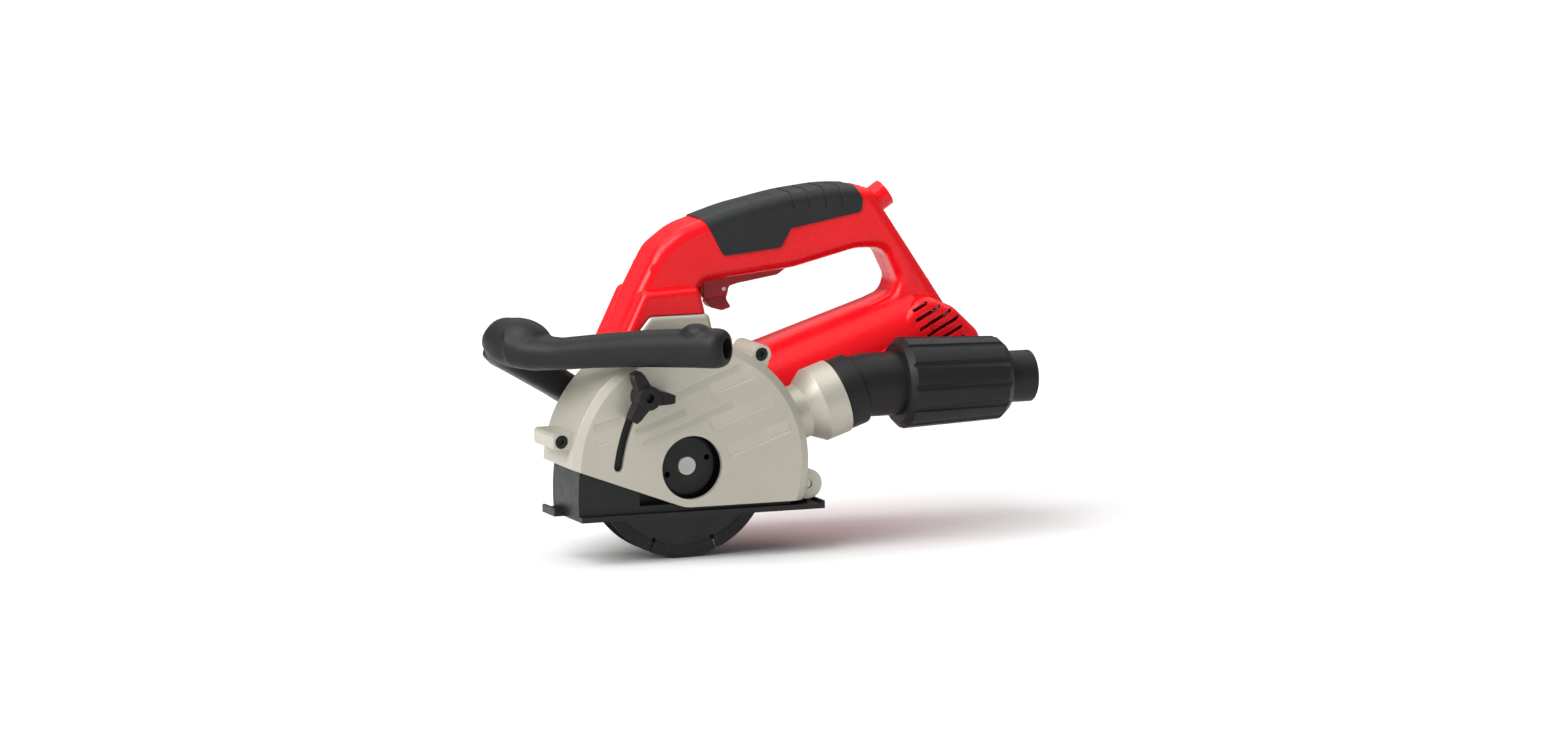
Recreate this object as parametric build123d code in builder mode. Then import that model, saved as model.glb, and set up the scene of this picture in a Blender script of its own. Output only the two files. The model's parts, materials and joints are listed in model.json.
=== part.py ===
from build123d import *
from math import acos, asin, atan2, cos, degrees, pi, radians, sin, sqrt, tan
import os

# Wall chaser: two 125 mm cutting discs in a cast guard with a swinging depth shoe,
# a bevel gearhead, a motor in a clamshell with a D-handle, a front handle and a
# swivelling dust outlet.
#
# Frame: +X towards the rear (the dust outlet), +Y away from the removable guard cover,
# +Z up. The origin is on the underside of the sole, below the shoe's pivot, midway
# between the two discs. Side views are drawn on planes whose centre is the spindle axis.

# ---------------------------------------------------------------- driving dimensions
SPINDLE_X, SPINDLE_Z = -86.0, 32.8      # spindle axis, which runs along Y
MOTOR_Y = 67.0                          # centre plane of motor, gearhead and D-handle
MOTOR_TILT = 20.0                       # motor axis above the horizontal, degrees
PORT_TILT = 18.5                        # dust port axis above the horizontal, degrees
AXIS_GAP = 0.05                         # radial running clearance of shafts
SLIP = 0.3                              # clearance between pieces that move past each other
SEAT = 0.02                             # radial gap of pieces seated in one another

# guard
GUARD_R, BOSS_R = 84.2, 26.5            # outer rim and lower boss radii
NEAR, SEAM, FAR = -28.0, -12.0, 29.0    # Y of cover face, of the joint, of the far face
FACE_WALL, RIM_WALL = 3.5, 3.0
BEVEL = 5.5                             # bevel round the cover's face
FRONT_CORNER_Z = 3.0                    # height of the rim's front end
ACCESS_R = 21.3                         # hole over the flange nut
LUG_NEAR, LUG_FAR = -20.0, 17.0         # Y span of the screw lugs
FRONT_LUG = (-89.0, 21.0)
TOP_LUG = (53.0, 72.0)
LUG_R = 6.5
LUG_SCREW_R = 2.5
MOUNT_SCREW_R = 33.5                    # screws that hold guard and bearing flange
MOUNT_ANGLES = (45, 130, 198, 325)

# shoe
PIVOT = (86.0, -17.0)                   # shoe pivot, from the spindle axis
PIVOT_LUG_R = 10.0
PIN_R = 3.0
SWING = 20.5                            # swing of the shoe, degrees
SHOE_NEAR, SHOE_FAR, SHOE_WALL = -24.0, 25.0, 2.0
SHOE_OUTER_R, SHOE_INNER_R = 165.0, 122.0   # both round the pivot
SOLE_T = 3.5
SOLE_NEAR, SOLE_FAR = -28.0, 29.0
SOLE_FRONT, SOLE_REAR = -78.0, 95.0     # from the spindle axis
TOE, TOE_NEAR = 7.0, 6.0                # length of the toe tab, and its near edge
SLOT_X, SLOT_HALF = (-62.0, 64.0), 15.5 # opening for the discs in the sole
SLOT_R, SLOT_W = 139.6, 6.6             # curved slot round the pivot
STUD_ANGLE, STUD_R = 28.9, 3.0          # stud above the horizontal at the pivot
KNOB_TIP_R = 18.5

# discs and spindle
DISC_R, DISC_T, DISC_GAP = 62.5, 2.2, 20.0
DISC_CORE_T, SEGMENT = 1.6, 8.0         # core thickness, height of the diamond rim
BORE_R = 11.15
FLANGE_R = 20.8
SPINDLE_END = -18.8                     # Y of the spindle's near end
SPINDLE_STEPS = [(SPINDLE_END, 15.8, 6.9), (15.8, 30.5, 9.0), (30.5, 58.0, 7.5), (58.0, 92.0, 5.0)]
NUT_PIN_PCD, NUT_PIN_R = 30.0, 2.0

# bevel gears
CROWN_TEETH, PINION_TEETH = 36, 9
MESH_R, TOOTH_FACE = 22.5, 8.0          # middle of the tooth, its length
BACKLASH = 0.35

# gearhead
GEARHEAD_R, GEARHEAD_FAR = 40.0, 102.0
MOTOR_FACE = 58.0                       # distance along the motor axis to the housing

# motor housing, side view from the spindle axis: (x, z, corner radius)
HOUSING_WALL = 3.0
GRIP_HALF = 19.0
BARREL = (37.5, 32.5, 186.0, 212.0)     # front radius, rear radius, ends of cone and tail
GRIP_LOOP = [
    (-30, 62, 12), (-8.5, 110.5, 60), (6, 137, 25), (24, 150, 40), (60, 161.3, 150), (100, 169.6, 200),
    (132, 173, 120), (161, 171.5, 12), (221, 82, 12), (204, 60, 12), (120, 74, 12), (178, 97.6, 10),
    (181.5, 107.5, 9), (171, 129.5, 12), (151, 130, 30), (105, 119, 60), (36, 112, 8), (40, 62, 12),
]
LEG_BASE = [(-29.5, 64, 6), (-7.5, 109, 6), (33, 111, 6), (38, 90, 6), (38, 64, 6)]
TAIL = [
    (158, 60, 12), (194, 99, 14), (218, 88, 12), (238, 69, 11), (236, 57, 9), (226, 48, 9), (175, 38, 10),
]
CHEEK = [(130, 47, 6), (178, 71, 6), (224, 62, 6), (222, 51, 6), (160, 32, 6)]
GRIP_PAD = [
    (30, 168, 3), (41.7, 150, 3), (52.4, 130, 3), (94, 134, 3), (101, 146.5, 3), (152.5, 155.6, 3),
    (153.5, 164, 3), (144, 185, 3), (60, 185, 3),
]
PAD_T = 0.9
GROOVE_PLACES, GROOVE_FLOOR = (102, 113.5, 125.5, 137.5), 0.35    # X of the grooves, skin left under them
HOUSING_SCREWS = [(6, 122, 19), (150, 143, 19), (198, 104, 19), (200, 54, 34)]   # x, z, half width

# dust outlet, distances along the port axis from the spindle axis
NECK_R, RING_R, COLLAR_R, TUBE_R = 18.5, 25.5, 24.5, 21.5
RING_START, RING_END, COLLAR_END = 104.0, 120.0, 135.0
SLEEVE_Z = 44.5                         # height of the sleeve's axis over the spindle
SLEEVE_START, SLEEVE_END, SPIGOT_END = 158.0, 235.0, 256.0
SLEEVE_R = (31.0, 28.0)
SPIGOT_R, SPIGOT_SEAT_R, SPIGOT_BORE = 17.5, 17.0, 15.0

# front handle, from the spindle axis and the guard's middle
BAR_R = 12.3
BAR_NEAR = (-3.0, -94.0, 90.0)
BAR_FAR = (-110.0, 34.0, 82.0)
LEG_SLOPE, LEG_HALF = 33.0, 18.0


def side(y):
    """Plane across Y with its centre on the spindle axis; extrusions run towards -Y."""
    return Plane(origin=(SPINDLE_X, y, SPINDLE_Z), x_dir=(1, 0, 0), z_dir=(0, -1, 0))


def tilted(distance, tilt, y):
    """Plane across an axis through the spindle axis, tilted above +X."""
    along = (cos(radians(tilt)), 0, sin(radians(tilt)))
    origin = (SPINDLE_X + distance * along[0], y, SPINDLE_Z + distance * along[2])
    return Plane(origin=origin, x_dir=(0, 1, 0), z_dir=along)


def motor(distance):
    return tilted(distance, MOTOR_TILT, MOTOR_Y)


def port(distance):
    return tilted(distance, PORT_TILT, 0)


def sleeve(x):
    """Plane across the dust sleeve's axis, x from the spindle axis."""
    return Plane(origin=(SPINDLE_X + x, 0, SPINDLE_Z + SLEEVE_Z), x_dir=(0, 1, 0), z_dir=(1, 0, 0))


def polar(radius, angle, centre=(0, 0)):
    """Point in a side view, angle in degrees from +X towards +Z."""
    return (centre[0] + radius * cos(radians(angle)), centre[1] + radius * sin(radians(angle)))


def ring(plane, outer, inner, length):
    """Plain ring or, with no inner radius, a cylinder."""
    with BuildPart() as piece:
        with BuildSketch(plane):
            Circle(outer)
            if inner:
                Circle(inner, mode=Mode.SUBTRACT)
        extrude(amount=length)
    return piece.part


def outline(points, inset):
    """Closed side-view face from (x, z, corner radius) points, drawn in by inset."""
    with BuildSketch() as face:
        with BuildLine():
            FilletPolyline(*[(x, z) for x, z, r in points], radius=[r for x, z, r in points], close=True)
        make_face()
        if inset:
            offset(amount=-inset)
    return face.sketch


def prism(points, centre_y, half, edge, inset=0):
    """Outline extruded to both sides of centre_y, with its rims rounded."""
    with BuildPart() as piece:
        with BuildSketch(side(centre_y + half)):
            add(outline(points, inset))
        extrude(amount=2 * half)
        if edge:
            rims = piece.edges().filter_by(lambda e: abs(abs(e.center().Y - centre_y) - half) < 0.01)
            fillet(rims, edge)
    return piece.part


# ---------------------------------------------------------------- guard
front_angle = 180 - degrees(asin(FRONT_CORNER_Z / GUARD_R))
rear_angle = -degrees(asin(BOSS_R / GUARD_R))
tangent_angle = front_angle + degrees(acos(BOSS_R / GUARD_R))
ACROSS = LUG_FAR - LUG_NEAR
mount_holes = [polar(MOUNT_SCREW_R, angle) for angle in MOUNT_ANGLES]


def guard_outline():
    """Rim arc, sloping front edge, boss under the spindle, level rear edge."""
    front = polar(GUARD_R, front_angle)
    rear = polar(GUARD_R, rear_angle)
    boss = polar(BOSS_R, tangent_angle)
    with BuildSketch() as face:
        with BuildLine():
            ThreePointArc(rear, (0, GUARD_R), front)
            Line(front, boss)
            ThreePointArc(boss, polar(BOSS_R, (tangent_angle + 270) / 2), (0, -BOSS_R))
            Line((0, -BOSS_R), rear)
        make_face()
    return face.sketch


def lug_outline():
    """Front lug, top lug and pivot lug, each with a web to the rim."""
    with BuildSketch() as face:
        with Locations((FRONT_LUG[0] + 3, FRONT_LUG[1])):
            RectangleRounded(18, 11, 2.5)
        with Locations(TOP_LUG):
            Circle(LUG_R)
        with Locations((50.0, 66.0)):
            Rectangle(10, 2 * LUG_R, rotation=54)
        with Locations(PIVOT):
            Circle(PIVOT_LUG_R)
        Circle(GUARD_R - RIM_WALL, mode=Mode.SUBTRACT)
    return face.sketch


def slot_outline(width):
    """Curved slot round the pivot, swept by the stud as the shoe swings."""
    ends = [180 - STUD_ANGLE, 180 - STUD_ANGLE + SWING]
    with BuildSketch() as face:
        with BuildLine():
            CenterArc(PIVOT, SLOT_R, ends[0], SWING)
        trace(line_width=width)
        with Locations(*[polar(SLOT_R, end, PIVOT) for end in ends]):
            Circle(width / 2)
    return face.sketch


def step(start, finish, drop, fade):
    """Shallow step on the cover: a wedge cut with a 45 degree ramp at the line, fading on one side."""
    length = sqrt((finish[0] - start[0]) ** 2 + (finish[1] - start[1]) ** 2)
    angle = atan2(finish[1] - start[1], finish[0] - start[0])
    origin = (SPINDLE_X + start[0], NEAR, SPINDLE_Z + start[1])
    along = (cos(angle), 0, sin(angle))
    with BuildPart() as wedge:
        with BuildSketch(Plane(origin=origin, x_dir=(0, 1, 0), z_dir=along)):
            with BuildLine():
                ramp = (-1, -(1 + drop) * fade / abs(fade))
                Polyline(ramp, (drop, 0), (-0.05, fade), (-1, fade), close=True)
            make_face()
        extrude(amount=length)
    return wedge.part


# steps on the cover's face: start, end, depth, and how far the wedge fades, above the line or below it
STEPS = [
    ((13.5, 47.7), (45, 58.4), 0.7, 9), ((14.8, 24.5), (59.7, 40), 0.7, 9),
    ((26.5, 5.6), (70.8, 20.8), 0.7, 9), ((-67, 17.8), (-55, 21.8), 0.6, 6),
    ((-16, 49.1), (33.3, 67.1), 0.4, -6), ((-35.7, 18.9), (28.3, 42.6), 0.3, -5),
    ((-40.3, 27.9), (-5, 39.6), 0.4, -5), ((-69.6, 31.7), (-49.5, 36.9), 0.4, -6),
]

with BuildPart() as guard_cover:
    with BuildSketch(side(SEAM)):
        add(guard_outline())
    extrude(amount=SEAM - NEAR)
    rim_edge = guard_cover.edges().filter_by(GeomType.CIRCLE).group_by(Axis.Y)[0].sort_by(SortBy.RADIUS)[-1]
    chamfer(rim_edge, 3.0, BEVEL)
    with BuildSketch(side(SEAM)):
        add(lug_outline())
    extrude(amount=SEAM - LUG_NEAR)
    with BuildSketch(side(SEAM)):
        Circle(GUARD_R - RIM_WALL)
    extrude(amount=SEAM - NEAR - FACE_WALL, mode=Mode.SUBTRACT)
    with BuildSketch(side(SEAM)):
        Circle(ACCESS_R)
        add(slot_outline(SLOT_W))
        with Locations(FRONT_LUG, TOP_LUG):
            Circle(LUG_SCREW_R + 0.2)
        with Locations(PIVOT):
            Circle(PIN_R + AXIS_GAP)
    extrude(amount=SEAM - NEAR, mode=Mode.SUBTRACT)
    with BuildSketch(side(LUG_NEAR + 5)):
        with Locations(FRONT_LUG, TOP_LUG):
            Circle(4.6)
    extrude(amount=5, mode=Mode.SUBTRACT)
    for start, finish, drop, fade in STEPS:
        add(step(start, finish, drop, fade), mode=Mode.SUBTRACT)
    with BuildSketch(port(70)):
        Circle(NECK_R - 2.5 + AXIS_GAP)
    extrude(amount=30, mode=Mode.SUBTRACT)

with BuildPart() as guard_base:
    with BuildSketch(side(FAR)):
        add(guard_outline())
    extrude(amount=FAR - SEAM)
    with BuildSketch(side(LUG_FAR)):
        add(lug_outline())
    extrude(amount=LUG_FAR - SEAM)
    with BuildSketch(side(FAR - FACE_WALL)):
        Circle(GUARD_R - RIM_WALL)
    extrude(amount=FAR - FACE_WALL - SEAM, mode=Mode.SUBTRACT)
    with BuildSketch(side(LUG_FAR)):
        with Locations(FRONT_LUG, TOP_LUG):
            Circle(LUG_SCREW_R + AXIS_GAP)
        with Locations(PIVOT):
            Circle(PIN_R + AXIS_GAP)
    extrude(amount=ACROSS, mode=Mode.SUBTRACT)
    with BuildSketch(side(FAR)):
        Circle(19.0)
        with Locations(*mount_holes):
            Circle(2.2)
    extrude(amount=FACE_WALL, mode=Mode.SUBTRACT)
    with BuildSketch(side(LUG_FAR - 7)):
        with Locations(PIVOT):
            Circle(PIVOT_LUG_R + 0.5)
    extrude(amount=LUG_FAR - 7 - SEAM - 2, mode=Mode.SUBTRACT)
    with BuildSketch(port(70)):
        Circle(NECK_R - 2.5 + AXIS_GAP)
    extrude(amount=30, mode=Mode.SUBTRACT)

with BuildPart() as guard_screws:
    with BuildSketch(side(LUG_FAR - 3)):
        with Locations(FRONT_LUG, TOP_LUG):
            Circle(LUG_SCREW_R)
    extrude(amount=LUG_FAR - 3 - LUG_NEAR - 5)
    with BuildSketch(side(LUG_NEAR + 5)):
        with Locations(FRONT_LUG, TOP_LUG):
            Circle(4.2)
            RegularPolygon(2.3, 6, mode=Mode.SUBTRACT)
    extrude(amount=3.5)
    with BuildSketch(side(LUG_NEAR + 5)):
        with Locations(FRONT_LUG, TOP_LUG):
            Circle(4.2)
    extrude(amount=1.5)

with BuildPart() as shoe_pivot_pin:
    with BuildSketch(side(LUG_FAR - 1)):
        with Locations(PIVOT):
            Circle(PIN_R)
    extrude(amount=ACROSS - 2)

with BuildPart() as guard_mount_screws:
    with BuildSketch(side(FAR + 9)):
        with Locations(*mount_holes):
            Circle(2.0)
    extrude(amount=9 + FACE_WALL)
    with BuildSketch(side(FAR - FACE_WALL)):
        with Locations(*mount_holes):
            Circle(3.6)
            RegularPolygon(1.6, 6, mode=Mode.SUBTRACT)
    extrude(amount=2.5)

# ---------------------------------------------------------------- depth shoe
sole_top = SOLE_T - SPINDLE_Z
shoe_low = 180 + degrees(asin((-17.0 - sole_top) / SHOE_OUTER_R))
shoe_high = 180 - 20.5


def shoe_cheek():
    """Side wall: a band round the pivot, a stud tab above it and a low rail to the rear."""
    band_low = polar(SHOE_INNER_R, 180 + degrees(asin((-17.0 - sole_top) / SHOE_INNER_R)), PIVOT)
    with BuildSketch() as face:
        with BuildLine():
            ThreePointArc(polar(SHOE_OUTER_R, shoe_low, PIVOT), polar(SHOE_OUTER_R, 172, PIVOT),
                          polar(SHOE_OUTER_R, shoe_high, PIVOT))
            Line(polar(SHOE_OUTER_R, shoe_high, PIVOT), polar(151.0, 180 - 31.5, PIVOT))
            Line(polar(151.0, 180 - 31.5, PIVOT), polar(130.0, 180 - 33.5, PIVOT))
            Line(polar(130.0, 180 - 33.5, PIVOT), polar(SHOE_INNER_R, 180 - 29, PIVOT))
            ThreePointArc(polar(SHOE_INNER_R, 180 - 29, PIVOT), polar(SHOE_INNER_R, 172, PIVOT), band_low)
            Line(band_low, polar(SHOE_OUTER_R, shoe_low, PIVOT))
        make_face()
        with Locations(((band_low[0] + 70) / 2, sole_top + 2.5)):
            Rectangle(70 - band_low[0] + 4, 5)
    return face.sketch


with BuildPart() as depth_shoe:
    with BuildSketch(side(SHOE_FAR)):
        add(shoe_cheek())
    extrude(amount=SHOE_FAR - SHOE_NEAR)
    with BuildSketch(side(SHOE_FAR - SHOE_WALL)):
        with Locations(PIVOT):
            Circle(SHOE_OUTER_R - SHOE_WALL)
    extrude(amount=SHOE_FAR - SHOE_NEAR - 2 * SHOE_WALL, mode=Mode.SUBTRACT)
    with BuildSketch(side(SHOE_NEAR + SHOE_WALL)):
        with Locations(polar(SLOT_R, 180 - STUD_ANGLE, PIVOT)):
            Circle(STUD_R + AXIS_GAP)
    extrude(amount=SHOE_WALL, mode=Mode.SUBTRACT)
    for y in (SHOE_NEAR + SHOE_WALL + 5.5, SHOE_FAR - SHOE_WALL):
        with BuildSketch(side(y)):
            with Locations((-2.0, sole_top + 1.0)):
                Rectangle(140, 2)
        extrude(amount=5.5)
    for y in (SHOE_NEAR + SHOE_WALL + 2.8, SHOE_FAR - SHOE_WALL - 2.8):
        with BuildSketch(Plane.XY.offset(SOLE_T)):
            with Locations(*[(SPINDLE_X + x, y) for x in (-60, -15, 30, 60)]):
                Circle(1.5 + AXIS_GAP)
        extrude(amount=2, mode=Mode.SUBTRACT)

with BuildPart() as sole_plate:
    with BuildSketch(Plane.XY):
        with Locations((SPINDLE_X + (SOLE_FRONT + SOLE_REAR) / 2, (SOLE_NEAR + SOLE_FAR) / 2)):
            Rectangle(SOLE_REAR - SOLE_FRONT, SOLE_FAR - SOLE_NEAR)
        with Locations((SPINDLE_X + SOLE_FRONT - TOE / 2 + 1, (TOE_NEAR + SOLE_FAR) / 2)):
            Rectangle(TOE + 2, SOLE_FAR - TOE_NEAR)
        with Locations((SPINDLE_X + (SLOT_X[0] + SLOT_X[1]) / 2, 0)):
            RectangleRounded(SLOT_X[1] - SLOT_X[0], 2 * SLOT_HALF, 4, mode=Mode.SUBTRACT)
        with Locations(*[(SPINDLE_X + x, y) for x in (-60, -15, 30, 60) for y in (-19.2, 20.2)]):
            Circle(1.5 + AXIS_GAP, mode=Mode.SUBTRACT)
    extrude(amount=SOLE_T)
    with BuildSketch(side(LUG_FAR - 7.5)):
        with Locations(PIVOT):
            Circle(7.5)
        with Locations((PIVOT[0], (PIVOT[1] + sole_top) / 2)):
            Rectangle(8, PIVOT[1] - sole_top + 0.4)
        with Locations(PIVOT):
            Circle(PIN_R + AXIS_GAP, mode=Mode.SUBTRACT)
    extrude(amount=LUG_FAR - 7.5 - SEAM - 2.5)
    with BuildSketch(Plane.XY.offset(SOLE_T)):
        with Locations((SPINDLE_X + SOLE_FRONT - TOE + 1, (TOE_NEAR + SOLE_FAR) / 2)):
            Rectangle(2, SOLE_FAR - TOE_NEAR)
        with Locations((SPINDLE_X + SOLE_REAR - 1, (SOLE_NEAR + SOLE_FAR) / 2)):
            Rectangle(2, SOLE_FAR - SOLE_NEAR)
    extrude(amount=1.8)

with BuildPart() as sole_rivets:
    with BuildSketch(Plane.XY.offset(0.4)):
        with Locations(*[(SPINDLE_X + x, y) for x in (-60, -15, 30, 60) for y in (-19.2, 20.2)]):
            Circle(1.5)
    extrude(amount=SOLE_T + 2 - 0.4)
    with BuildSketch(Plane.XY.offset(SOLE_T + 2)):
        with Locations(*[(SPINDLE_X + x, y) for x in (-60, -15, 30, 60) for y in (-19.2, 20.2)]):
            Circle(2.6)
    extrude(amount=1.0)

stud_at = polar(SLOT_R, 180 - STUD_ANGLE, PIVOT)

with BuildPart() as depth_stud:
    with BuildSketch(side(SHOE_NEAR + SHOE_WALL)):
        with Locations(stud_at):
            Circle(STUD_R)
    extrude(amount=SHOE_NEAR + SHOE_WALL + 41)
    with BuildSketch(side(SHOE_NEAR + SHOE_WALL + 3)):
        with Locations(stud_at):
            Circle(7)
    extrude(amount=3)

with BuildPart() as depth_washer:
    with BuildSketch(side(NEAR - 0.1)):
        with Locations(stud_at):
            Circle(8)
            Circle(STUD_R + AXIS_GAP, mode=Mode.SUBTRACT)
    extrude(amount=1.5)

with BuildPart() as depth_knob:
    with BuildSketch(side(NEAR - 1.7)):
        with Locations(stud_at):
            Circle(8.2)
    extrude(amount=15.5)
    for angle in (115, 235, 355):
        with BuildSketch(side(NEAR - 5)):
            with Locations(stud_at):
                Polygon((0, -5.5), (KNOB_TIP_R - 3, -3.6), (KNOB_TIP_R, -2.6), (KNOB_TIP_R, 2.6),
                        (KNOB_TIP_R - 3, 3.6), (0, 5.5), rotation=angle, align=None)
        extrude(amount=10.5)
    fillet(depth_knob.edges().group_by(Axis.Y)[0], 1.2)
    with BuildSketch(side(NEAR - 1.7)):
        with Locations(stud_at):
            Circle(STUD_R + AXIS_GAP)
    extrude(amount=20, mode=Mode.SUBTRACT)

# ---------------------------------------------------------------- discs and spindle
HUB_R = BORE_R - 0.1
near_disc_y, far_disc_y = -DISC_GAP / 2, DISC_GAP / 2


def cutting_disc(middle):
    """Steel core with a raised segmented rim and eight radial slits."""
    with BuildPart() as disc:
        with BuildSketch(side(middle + DISC_CORE_T / 2)):
            Circle(DISC_R - 1)
            Circle(BORE_R, mode=Mode.SUBTRACT)
        extrude(amount=DISC_CORE_T)
        with BuildSketch(side(middle + DISC_T / 2)):
            Circle(DISC_R)
            Circle(DISC_R - SEGMENT, mode=Mode.SUBTRACT)
        extrude(amount=DISC_T)
        with BuildSketch(side(middle + DISC_T / 2)):
            with PolarLocations(DISC_R - SEGMENT / 2, 8, start_angle=22.5):
                Rectangle(SEGMENT + 1, 1.3)
            with PolarLocations(DISC_R - SEGMENT - 0.5, 8, start_angle=22.5):
                Circle(1.5)
        extrude(amount=DISC_T, mode=Mode.SUBTRACT)
    return disc.part


with BuildPart() as near_disc:
    add(cutting_disc(near_disc_y))

with BuildPart() as far_disc:
    add(cutting_disc(far_disc_y))

with BuildPart() as disc_spacer:
    with BuildSketch(side(far_disc_y - DISC_CORE_T / 2)):
        Circle(FLANGE_R)
        Circle(BORE_R, mode=Mode.SUBTRACT)
    extrude(amount=DISC_GAP - DISC_CORE_T)

with BuildPart() as inner_flange:
    with BuildSketch(side(far_disc_y + DISC_CORE_T / 2 + 5)):
        Circle(FLANGE_R)
    extrude(amount=5)
    with BuildSketch(side(far_disc_y + DISC_CORE_T / 2)):
        Circle(HUB_R)
    extrude(amount=DISC_GAP + DISC_CORE_T - 0.5)
    with BuildSketch(side(far_disc_y + DISC_CORE_T / 2 + 5)):
        Circle(6.9 + SEAT)
    extrude(amount=40, mode=Mode.SUBTRACT)
    chamfer(inner_flange.edges().group_by(Axis.Y)[-1].sort_by(SortBy.RADIUS)[-1], 1.0)

with BuildPart() as flange_nut:
    with BuildSketch(side(near_disc_y - DISC_CORE_T / 2)):
        Circle(FLANGE_R)
        Circle(6.9 + SEAT, mode=Mode.SUBTRACT)
    extrude(amount=5)
    with BuildSketch(side(near_disc_y - DISC_CORE_T / 2 - 5)):
        Circle(19.0)
        Circle(6.9 + SEAT, mode=Mode.SUBTRACT)
    extrude(amount=2.6)
    with BuildSketch(side(near_disc_y - DISC_CORE_T / 2)):
        with Locations(polar(NUT_PIN_PCD / 2, 20), polar(NUT_PIN_PCD / 2, 200)):
            Circle(NUT_PIN_R)
    extrude(amount=10, mode=Mode.SUBTRACT)

with BuildPart() as spindle:
    for start, finish, radius in SPINDLE_STEPS:
        with BuildSketch(side(finish)):
            Circle(radius)
        extrude(amount=finish - start)
    chamfer(spindle.edges().group_by(Axis.Y)[0], 0.8)
    with BuildSketch(side(80)):
        Circle(8.0)
    extrude(amount=6)
    with BuildSketch(side(80)):
        with PolarLocations(8.0, 4):
            Rectangle(5.4, 5.6)
    extrude(amount=6, mode=Mode.SUBTRACT)

# ---------------------------------------------------------------- bevel gears
# All tooth sizes are at MESH_R and shrink in proportion towards the shafts' crossing.
MODULE = 2 * MESH_R / CROWN_TEETH
PINION_PITCH = MODULE * PINION_TEETH / 2
HALF_PITCH = pi * MODULE / 4 - BACKLASH / 2
TOOTH_ROOT, TOOTH_TIP = HALF_PITCH + 0.35, HALF_PITCH - 0.3
tooth_ends = (MESH_R - TOOTH_FACE / 2, MESH_R + TOOTH_FACE / 2)


def pinion_tooth(distance, angle):
    """Tooth section across the motor axis."""
    scale = distance / MESH_R
    root, tip = PINION_PITCH - 1.2 * MODULE, PINION_PITCH + MODULE
    corners = [(root - 0.4, -TOOTH_ROOT), (tip, -TOOTH_TIP), (tip, TOOTH_TIP), (root - 0.4, TOOTH_ROOT)]
    with BuildSketch(motor(distance)) as section:
        Polygon(*[(scale * x, scale * y) for x, y in corners], rotation=angle, align=None)
    return section.sketch


def crown_tooth(distance, angle):
    """Tooth section across a radius of the spindle, which points towards the motor side."""
    scale = distance / MESH_R
    root, tip = PINION_PITCH + 1.2 * MODULE + 0.4, PINION_PITCH - MODULE
    corners = [(-root, -TOOTH_ROOT), (-tip, -TOOTH_TIP), (-tip, TOOTH_TIP), (-root, TOOTH_ROOT)]
    with BuildSketch(tilted(distance, angle, MOTOR_Y)) as section:
        Polygon(*[(scale * x, scale * y) for x, y in corners], align=None)
    return section.sketch


with BuildPart() as pinion:
    root_ends = [(PINION_PITCH - 1.2 * MODULE) * s / MESH_R for s in tooth_ends]
    with BuildSketch(motor(tooth_ends[0])):
        Circle(root_ends[0])
    with BuildSketch(motor(tooth_ends[1])):
        Circle(root_ends[1])
    loft()
    for tooth in range(PINION_TEETH):
        angle = 180 + tooth * 360 / PINION_TEETH
        loft([pinion_tooth(s, angle).face() for s in tooth_ends])
    with BuildSketch(motor(tooth_ends[1])):
        Circle(7.5)
    extrude(amount=6)
    with BuildSketch(motor(tooth_ends[0])):
        Circle(2.5 + SEAT)
    extrude(amount=30, mode=Mode.SUBTRACT)

with BuildPart() as crown_blank:
    root_slope = (PINION_PITCH + 1.2 * MODULE) / MESH_R
    with BuildSketch(Plane.XY):
        with BuildLine():
            Polyline((7.5 + SEAT, 46.5), (7.5 + SEAT, 58), (13, 58), (15, MOTOR_Y - 15 * root_slope),
                     (tooth_ends[1] + 0.6, MOTOR_Y - (tooth_ends[1] + 0.6) * root_slope),
                     (tooth_ends[1] + 0.6, 53), (16, 50), (12, 46.5), close=True)
        make_face()
    revolve(axis=Axis.Y)

with BuildPart() as crown_gear:
    add(crown_blank.part.moved(Location((SPINDLE_X, 0, SPINDLE_Z))))
    for tooth in range(CROWN_TEETH):
        angle = MOTOR_TILT + (tooth + 0.5) * 360 / CROWN_TEETH
        loft([crown_tooth(s, angle).face() for s in tooth_ends])

# ---------------------------------------------------------------- gearhead
PEDESTAL = [(-15, 28, 5), (-15, 57, 5), (-27, 65.5, 3), (-4, 93, 5), (39, 93, 5), (46, 62, 5), (40, 20, 5)]
leg_along = (cos(radians(LEG_SLOPE)), -sin(radians(LEG_SLOPE)))
leg_foot = (-36.2, 30.4)                # centre of the handle's foot on the gearhead
FOOT_HALF, FOOT_T, FOOT_Y = 20.5, 9.0, 50.0
foot_bolts = [(-15.2, 0), (15.2, 0)]    # above and below the handle's leg
LOCK_Y, LOCK_TRAVEL = 77.0, 2.4


def foot(distance):
    """Plane across the handle's leg; local x runs up the foot, local y along +Y."""
    run, rise = leg_along
    origin = (SPINDLE_X + leg_foot[0] + distance * run, FOOT_Y, SPINDLE_Z + leg_foot[1] + distance * rise)
    return Plane(origin=origin, x_dir=(-rise, 0, run), z_dir=(run, 0, rise))


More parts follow.
